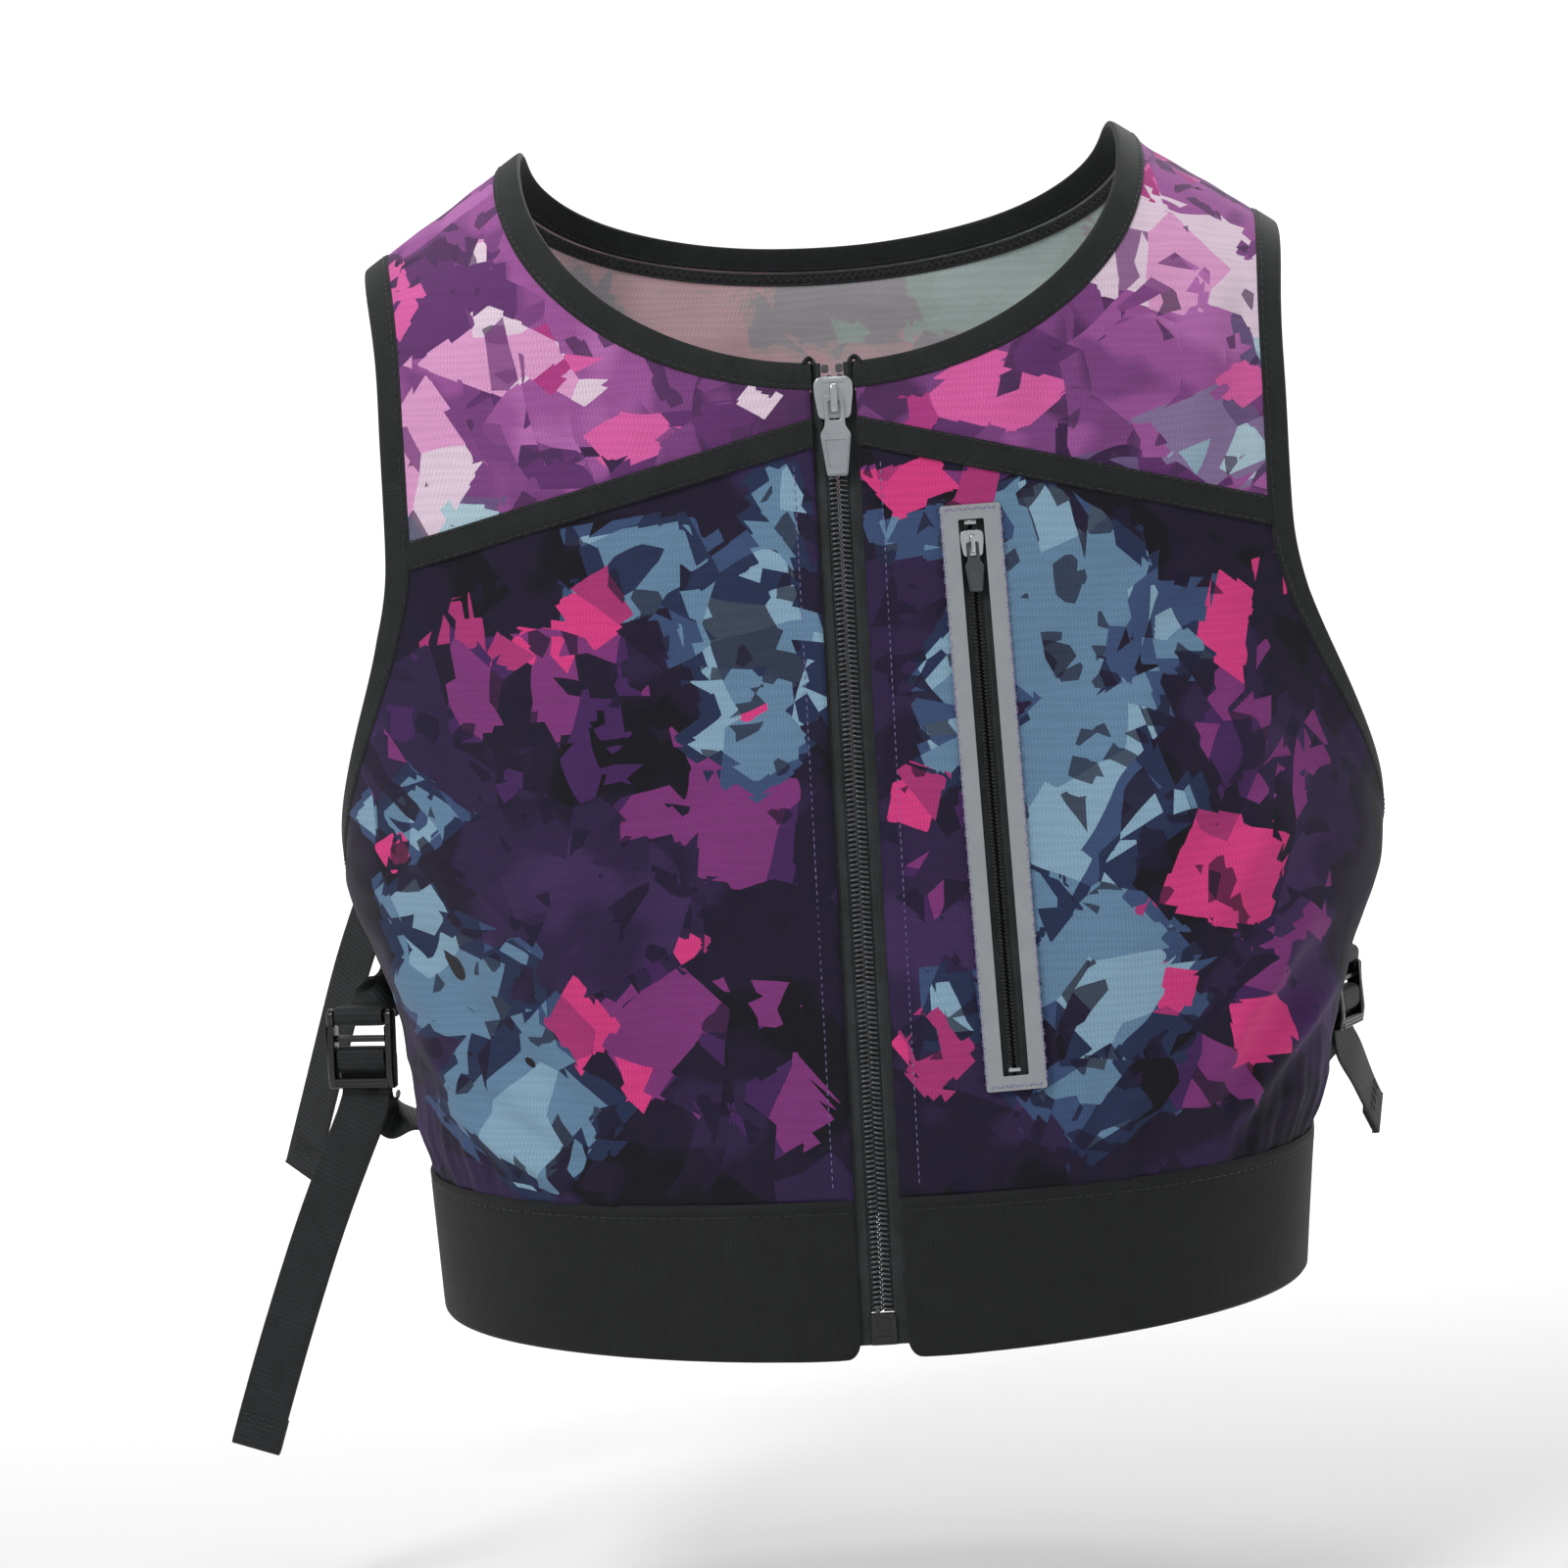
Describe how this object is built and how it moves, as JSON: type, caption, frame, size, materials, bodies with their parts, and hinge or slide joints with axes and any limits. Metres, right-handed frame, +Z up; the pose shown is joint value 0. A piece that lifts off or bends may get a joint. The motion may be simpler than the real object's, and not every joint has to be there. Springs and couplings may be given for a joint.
{
  "type": "sports safety vest",
  "caption": "Cropped sleeveless mesh sports safety vest with a full front zip, a reflective zipped chest pocket, an elastic waistband and webbing side adjusters.",
  "frame": {"origin": "midway between the two shoulder seats, at their height, where the wearer carries the vest", "axes": "+Z up along the wearer's trunk, -Y to the front, +X to the wearer's left"},
  "size_m": [0.359, 0.2116, 0.3845],
  "materials": {
    "printed_mesh": null,
    "lining_mesh": "plain black knitted mesh",
    "black_stretch_fabric": "black stretch knit",
    "binding_tape": "folded ribbed elastic binding",
    "waistband_elastic": "woven elastic, 40 mm",
    "zip_tape": "woven polyester zip tape",
    "zip_coil": "nylon coil",
    "slider_metal": "silver-grey enamel",
    "main_pull_grey": "satin grey",
    "pocket_pull_grey": "satin dark grey",
    "reflective_trim": "grey retroreflective tape",
    "lock_plastic": "moulded acetal",
    "webbing": "ribbed polyester webbing, 15 mm"
  },
  "bodies": {
    "vest": {"front_panel_right": "printed_mesh", "front_panel_left": "printed_mesh", "front_lining_right": "lining_mesh", "front_lining_left": "lining_mesh", "front_yoke_right": "printed_mesh", "front_yoke_left": "printed_mesh", "yoke_tape_right": "binding_tape", "yoke_tape_left": "binding_tape", "back_panel": "printed_mesh", "side_gusset_right": "black_stretch_fabric", "side_gusset_left": "black_stretch_fabric", "neck_binding": "binding_tape", "armhole_binding_right": "binding_tape", "armhole_binding_left": "binding_tape", "waistband_front_right": "waistband_elastic", "waistband_front_left": "waistband_elastic", "waistband_back": "waistband_elastic", "main_zip_tape_right": "zip_tape", "main_zip_tape_left": "zip_tape", "main_zip_coil_right": "zip_coil", "main_zip_coil_left": "zip_coil", "main_zip_retainer_box": "zip_coil", "main_zip_insertion_pin": "zip_coil", "main_zip_top_stops": "zip_coil", "pocket_reflective_frame": "reflective_trim", "pocket_zip_tape": "zip_tape", "pocket_zip_coils": "zip_coil", "pocket_zip_stops": "slider_metal", "pocket_bag": "lining_mesh", "upper_anchor_loop_right": "webbing", "upper_anchor_loop_left": "webbing", "lower_anchor_loop_right": "webbing", "lower_anchor_loop_left": "webbing", "upper_strap_right": "webbing", "upper_strap_left": "webbing", "lower_strap_right": "webbing", "lower_strap_left": "webbing"},
    "main_zip_slider_body": {"main_zip_slider": "slider_metal"},
    "main_zip_pull_body": {"main_zip_pull": "main_pull_grey"},
    "pocket_zip_slider_body": {"pocket_zip_slider": "slider_metal"},
    "pocket_zip_pull_body": {"pocket_zip_pull": "pocket_pull_grey"},
    "upper_adjuster_right": {"upper_lock_right": "lock_plastic", "upper_threaded_webbing_right": "webbing"},
    "upper_tail_right": {"upper_strap_tail_right": "webbing"},
    "lower_adjuster_right": {"lower_lock_right": "lock_plastic", "lower_threaded_webbing_right": "webbing"},
    "lower_tail_right": {"lower_strap_tail_right": "webbing"},
    "upper_adjuster_left": {"upper_lock_left": "lock_plastic", "upper_threaded_webbing_left": "webbing"},
    "upper_tail_left": {"upper_strap_tail_left": "webbing"},
    "lower_adjuster_left": {"lower_lock_left": "lock_plastic", "lower_threaded_webbing_left": "webbing"},
    "lower_tail_left": {"lower_strap_tail_left": "webbing"}
  },
  "joints": [
    {"name": "main_zip_travel", "type": "slide", "parent": "vest", "child": "main_zip_slider_body", "axis": [0, -0.0899, -0.996], "range_m": [0, 0.24]},
    {"name": "main_zip_pull_swing", "type": "hinge", "parent": "main_zip_slider_body", "child": "main_zip_pull_body", "pos_m": [0, -0.08898, -0.06064], "axis": [-1, 0, 0], "range_deg": [0, 170]},
    {"name": "pocket_zip_travel", "type": "slide", "parent": "vest", "child": "pocket_zip_slider_body", "axis": [0.0272, -0.0878, -0.9958], "range_m": [0, 0.13]},
    {"name": "pocket_zip_pull_swing", "type": "hinge", "parent": "pocket_zip_slider_body", "child": "pocket_zip_pull_body", "pos_m": [0.03547, -0.08981, -0.10177], "axis": [-0.9957, -0.0906, -0.0192], "range_deg": [0, 170]},
    {"name": "upper_lock_swing_right", "type": "hinge", "parent": "vest", "child": "upper_adjuster_right", "pos_m": [-0.144, 0.062, -0.17], "axis": [-0.7431, 0.6691, 0], "range_deg": [0, 35], "stiffness_Nm_per_rad": 0.02},
    {"name": "upper_tail_swing_right", "type": "hinge", "parent": "upper_adjuster_right", "child": "upper_tail_right", "pos_m": [-0.14495, 0.06406, -0.19888], "axis": [-0.6679, 0.6014, 0.4384], "range_deg": [0, 60]},
    {"name": "lower_lock_swing_right", "type": "hinge", "parent": "vest", "child": "lower_adjuster_right", "pos_m": [-0.148, 0.005, -0.2345], "axis": [-0.9659, 0.2588, 0], "range_deg": [0, 35], "stiffness_Nm_per_rad": 0.02},
    {"name": "lower_tail_swing_right", "type": "hinge", "parent": "lower_adjuster_right", "child": "lower_tail_right", "pos_m": [-0.14926, 0.00627, -0.26293], "axis": [-0.8956, 0.24, 0.3746], "range_deg": [0, 60]},
    {"name": "upper_lock_swing_left", "type": "hinge", "parent": "vest", "child": "upper_adjuster_left", "pos_m": [0.1535, 0.047, -0.178], "axis": [-0.6428, -0.766, 0], "range_deg": [0, 35], "stiffness_Nm_per_rad": 0.02},
    {"name": "upper_tail_swing_left", "type": "hinge", "parent": "upper_adjuster_left", "child": "upper_tail_left", "pos_m": [0.15294, 0.04773, -0.20448], "axis": [-0.6393, -0.7618, -0.1045], "range_deg": [0, 60]},
    {"name": "lower_lock_swing_left", "type": "hinge", "parent": "vest", "child": "lower_adjuster_left", "pos_m": [0.145, 0.018, -0.234], "axis": [-0.454, -0.891, 0], "range_deg": [0, 35], "stiffness_Nm_per_rad": 0.02},
    {"name": "lower_tail_swing_left", "type": "hinge", "parent": "lower_adjuster_left", "child": "lower_tail_left", "pos_m": [0.14738, 0.02465, -0.26491], "axis": [-0.3038, -0.5962, -0.7431], "range_deg": [0, 60]}
  ]
}
